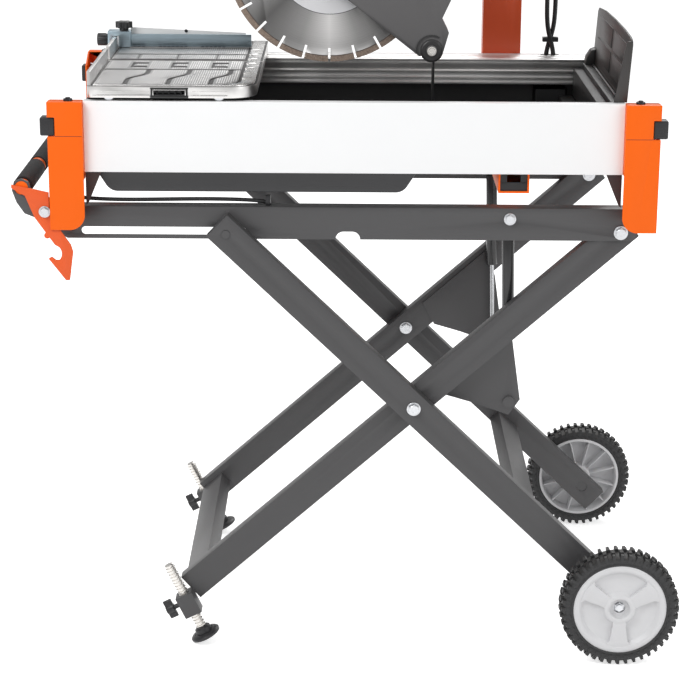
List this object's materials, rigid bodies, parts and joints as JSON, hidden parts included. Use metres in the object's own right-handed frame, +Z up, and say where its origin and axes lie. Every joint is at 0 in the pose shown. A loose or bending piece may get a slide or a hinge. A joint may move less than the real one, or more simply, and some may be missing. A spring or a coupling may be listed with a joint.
{
  "type": "masonry saw",
  "caption": "Wet table saw for brick and tile: diamond blade on a tilting head, rolling cart over a water tray, folding scissor stand with wheels and levelling feet.",
  "frame": {"origin": "on the floor, under the middle of the overall bounding box", "axes": "+X along the table towards the wheels, +Y away from the operator, +Z up"},
  "size_m": [1.096, 0.699, 1.349],
  "materials": {
    "white_paint": "satin",
    "orange_paint": "satin",
    "dark_paint": "fine texture powder coat",
    "black_plastic": "fine texture",
    "grey_paint": "satin",
    "light_grey_plastic": "moulded",
    "tyre": "matte",
    "foam": "foam",
    "rubber": "matte",
    "aluminium": "brushed",
    "cast_aluminium": "cast",
    "zinc": "zinc plated",
    "blade_steel": "ground",
    "chrome": "polished",
    "red_plastic": "gloss",
    "green_plastic": "gloss"
  },
  "bodies": {
    "frame": {"front_panel": "white_paint", "rear_panel": "white_paint", "water_tray": "black_plastic", "guide_rail": "aluminium", "corner_brackets_left": "orange_paint", "corner_brackets_right": "orange_paint", "handle_plates": "dark_paint", "handle_bar": "dark_paint", "handle_grips": "foam", "stand_rail_front": "dark_paint", "stand_rail_rear": "dark_paint", "frame_bolts": "zinc", "cross_channel": "orange_paint", "column": "orange_paint", "head_shaft": "zinc", "splash_guard": "black_plastic", "switch_box": "black_plastic", "water_pump": "black_plastic", "pump_lines": "rubber", "release_cable": "rubber", "line_clips": "black_plastic"},
    "inner_legs": {"inner_leg_frame": "dark_paint"},
    "outer_legs": {"outer_leg_frame": "dark_paint", "leg_bolts": "zinc", "wheel_axles": "zinc"},
    "wheel_front": {"wheel_hub_front": "light_grey_plastic", "tyre_front": "tyre"},
    "foot_front": {"foot_front": "zinc"},
    "foot_knob_front": {"foot_knob_front": "black_plastic"},
    "gas_cylinder_front": {"gas_cylinder_front": "dark_paint"},
    "gas_rod_front": {"gas_rod_front": "chrome"},
    "corner_latch_front_left": {"corner_latch_front_left": "black_plastic"},
    "corner_latch_front_right": {"corner_latch_front_right": "black_plastic"},
    "wheel_rear": {"wheel_hub_rear": "light_grey_plastic", "tyre_rear": "tyre"},
    "foot_rear": {"foot_rear": "zinc"},
    "foot_knob_rear": {"foot_knob_rear": "black_plastic"},
    "gas_cylinder_rear": {"gas_cylinder_rear": "dark_paint"},
    "gas_rod_rear": {"gas_rod_rear": "chrome"},
    "corner_latch_rear_left": {"corner_latch_rear_left": "black_plastic"},
    "corner_latch_rear_right": {"corner_latch_rear_right": "black_plastic"},
    "hook_lever": {"hook_lever": "orange_paint"},
    "cart": {"cart_table": "cast_aluminium", "cart_handle": "black_plastic"},
    "cart_roller_left": {"cart_roller_left": "zinc"},
    "cart_roller_right": {"cart_roller_right": "zinc"},
    "rip_guide": {"rip_guide": "zinc"},
    "guide_side_knob": {"guide_side_knob": "black_plastic"},
    "guide_star_knob": {"guide_star_knob": "black_plastic"},
    "head": {"head_arm": "orange_paint", "motor": "cast_aluminium", "motor_cover": "black_plastic", "blade_guard": "grey_paint", "splash_flap": "rubber", "head_handle": "foam"},
    "blade": {"blade": "blade_steel", "spindle": "zinc"},
    "head_lock_knob": {"head_lock_knob": "black_plastic"},
    "start_button": {"start_button": "green_plastic"},
    "stop_button": {"stop_button": "red_plastic"}
  },
  "joints": [
    {"name": "stand_fold", "type": "hinge", "parent": "frame", "child": "inner_legs", "pos_m": [0.4352, 0, 0.7207], "axis": [0, 1, 0], "range_deg": [0, 37]},
    {"name": "leg_crossing", "type": "hinge", "parent": "inner_legs", "child": "outer_legs", "pos_m": [0.1017, 0, 0.4257], "axis": [0, 1, 0], "range_deg": [-76.28, 0]},
    {"name": "wheel_spin_front", "type": "hinge", "parent": "outer_legs", "child": "wheel_front", "pos_m": [0.448, -0.327, 0.1], "axis": [0, 1, 0], "continuous": true},
    {"name": "foot_slide_front", "type": "slide", "parent": "inner_legs", "child": "foot_front", "axis": [0.4384, 0, -0.8988], "range_m": [-0.018, 0.045]},
    {"name": "foot_knob_turn_front", "type": "hinge", "parent": "inner_legs", "child": "foot_knob_front", "pos_m": [-0.30785, -0.2595, 0.05985], "axis": [-0.8988, 0, -0.4384], "continuous": true},
    {"name": "spring_swing_front", "type": "hinge", "parent": "frame", "child": "gas_cylinder_front", "pos_m": [0.2542, -0.206, 0.7424], "axis": [0, 1, 0], "range_deg": [0, 42.88]},
    {"name": "spring_stroke_front", "type": "slide", "parent": "gas_cylinder_front", "child": "gas_rod_front", "axis": [0.0263, 0, -0.9997], "range_m": [-0.11306, 0]},
    {"name": "corner_latch_front_left_press", "type": "slide", "parent": "frame", "child": "corner_latch_front_left", "axis": [1, 0, 0], "range_m": [0, 0.008], "stiffness_N_per_m": 400},
    {"name": "corner_latch_front_right_press", "type": "slide", "parent": "frame", "child": "corner_latch_front_right", "axis": [-1, 0, 0], "range_m": [0, 0.008], "stiffness_N_per_m": 400},
    {"name": "wheel_spin_rear", "type": "hinge", "parent": "outer_legs", "child": "wheel_rear", "pos_m": [0.448, 0.327, 0.1], "axis": [0, 1, 0], "continuous": true},
    {"name": "foot_slide_rear", "type": "slide", "parent": "inner_legs", "child": "foot_rear", "axis": [0.4384, 0, -0.8988], "range_m": [-0.018, 0.045]},
    {"name": "foot_knob_turn_rear", "type": "hinge", "parent": "inner_legs", "child": "foot_knob_rear", "pos_m": [-0.30785, 0.2595, 0.05985], "axis": [-0.8988, 0, -0.4384], "continuous": true},
    {"name": "spring_swing_rear", "type": "hinge", "parent": "frame", "child": "gas_cylinder_rear", "pos_m": [0.2542, 0.206, 0.7424], "axis": [0, 1, 0], "range_deg": [0, 42.88]},
    {"name": "spring_stroke_rear", "type": "slide", "parent": "gas_cylinder_rear", "child": "gas_rod_rear", "axis": [0.0263, 0, -0.9997], "range_m": [-0.11306, 0]},
    {"name": "corner_latch_rear_left_press", "type": "slide", "parent": "frame", "child": "corner_latch_rear_left", "axis": [1, 0, 0], "range_m": [0, 0.008], "stiffness_N_per_m": 400},
    {"name": "corner_latch_rear_right_press", "type": "slide", "parent": "frame", "child": "corner_latch_rear_right", "axis": [-1, 0, 0], "range_m": [0, 0.008], "stiffness_N_per_m": 400},
    {"name": "hook_swing", "type": "hinge", "parent": "frame", "child": "hook_lever", "pos_m": [-0.4958, 0, 0.7582], "axis": [0, 1, 0], "range_deg": [0, 20]},
    {"name": "cart_slide", "type": "slide", "parent": "frame", "child": "cart", "axis": [1, 0, 0], "range_m": [0, 0.5], "deforming": ["splash_flap"]},
    {"name": "roller_spin_left", "type": "hinge", "parent": "cart", "child": "cart_roller_left", "pos_m": [-0.39, 0, 0.945], "axis": [0, 1, 0], "continuous": true},
    {"name": "roller_spin_right", "type": "hinge", "parent": "cart", "child": "cart_roller_right", "pos_m": [-0.215, 0, 0.945], "axis": [0, 1, 0], "continuous": true},
    {"name": "guide_slide", "type": "slide", "parent": "cart", "child": "rip_guide", "axis": [0, 1, 0], "range_m": [-0.1, 0.06]},
    {"name": "side_knob_turn", "type": "hinge", "parent": "rip_guide", "child": "guide_side_knob", "pos_m": [-0.44, 0.154, 0.974], "axis": [1, 0, 0], "continuous": true},
    {"name": "star_knob_turn", "type": "hinge", "parent": "rip_guide", "child": "guide_star_knob", "pos_m": [-0.407, 0.146, 1], "axis": [0, 0, 1], "continuous": true},
    {"name": "head_tilt", "type": "hinge", "parent": "frame", "child": "head", "pos_m": [0.2695, 0.19, 1.285], "axis": [0, 1, 0], "range_deg": [-1.2, 25]},
    {"name": "blade_spin", "type": "hinge", "parent": "head", "child": "blade", "pos_m": [-0.0423, 0, 1.135], "axis": [0, 1, 0], "continuous": true},
    {"name": "lock_knob_turn", "type": "hinge", "parent": "head", "child": "head_lock_knob", "pos_m": [0.2695, 0.243, 1.32], "axis": [0, 0, 1], "continuous": true},
    {"name": "start_button_press", "type": "slide", "parent": "frame", "child": "start_button", "axis": [0, 1, 0], "range_m": [0, 0.004], "stiffness_N_per_m": 600},
    {"name": "stop_button_press", "type": "slide", "parent": "frame", "child": "stop_button", "axis": [0, 1, 0], "range_m": [0, 0.004], "stiffness_N_per_m": 600}
  ],
  "couplings": [
    {"joint": "leg_crossing", "follows": "stand_fold", "ratio": -2.0564},
    {"joint": "spring_swing_front", "follows": "stand_fold", "ratio": 1.1535},
    {"joint": "spring_stroke_front", "follows": "stand_fold", "m_per_rad": -0.17477},
    {"joint": "spring_swing_rear", "follows": "stand_fold", "ratio": 1.1535},
    {"joint": "spring_stroke_rear", "follows": "stand_fold", "m_per_rad": -0.17477},
    {"joint": "roller_spin_left", "follows": "cart_slide", "rad_per_m": 111.11},
    {"joint": "roller_spin_right", "follows": "cart_slide", "rad_per_m": 111.11}
  ]
}
